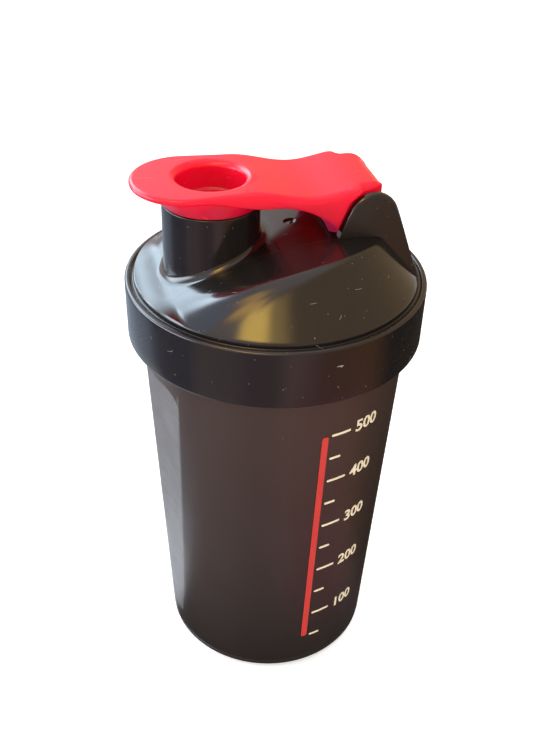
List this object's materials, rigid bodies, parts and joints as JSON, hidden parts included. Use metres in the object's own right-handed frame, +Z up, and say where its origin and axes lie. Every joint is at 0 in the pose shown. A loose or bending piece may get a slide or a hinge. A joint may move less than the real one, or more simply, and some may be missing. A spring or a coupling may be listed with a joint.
{
  "type": "shaker bottle",
  "caption": "Tapered plastic shaker cup with grip flats, domed screw lid with pouring spout, hinged flip cap that plugs the spout, lid gasket and mixing grid.",
  "frame": {"origin": "centre of the foot ring, on the surface that the bottle stands on", "axes": "+Z up along the bottle's axis, spout towards -X, cap hinge towards +X with its axis along Y"},
  "size_m": [0.097, 0.097, 0.1839],
  "materials": {
    "cup_plastic": "satin smoked plastic with fine scratches",
    "grid_plastic": "plain moulded plastic",
    "gasket_rubber": "plain silicone",
    "lid_plastic": "glossy moulded plastic with dust and fine scratches",
    "cap_plastic": "satin moulded plastic"
  },
  "bodies": {
    "cup": {"cup": "cup_plastic"},
    "grid": {"mixing_grid": "grid_plastic"},
    "lid": {"screw_lid": "lid_plastic", "lid_gasket": "gasket_rubber"},
    "cap": {"flip_cap": "cap_plastic"}
  },
  "joints": [
    {"name": "lid_lift", "type": "slide", "parent": "cup", "child": "grid", "axis": [0, 0, 1], "range_m": [0, 0.012]},
    {"name": "lid_turn", "type": "hinge", "parent": "grid", "child": "lid", "pos_m": [0, 0, 0.1395], "axis": [0, 0, 1], "range_deg": [0, 360]},
    {"name": "cap_hinge", "type": "hinge", "parent": "lid", "child": "cap", "pos_m": [0.0258, 0, 0.1729], "axis": [0, 1, 0], "range_deg": [0, 105]}
  ],
  "couplings": [
    {"joint": "lid_lift", "follows": "lid_turn", "m_per_rad": 0.0019099}
  ]
}
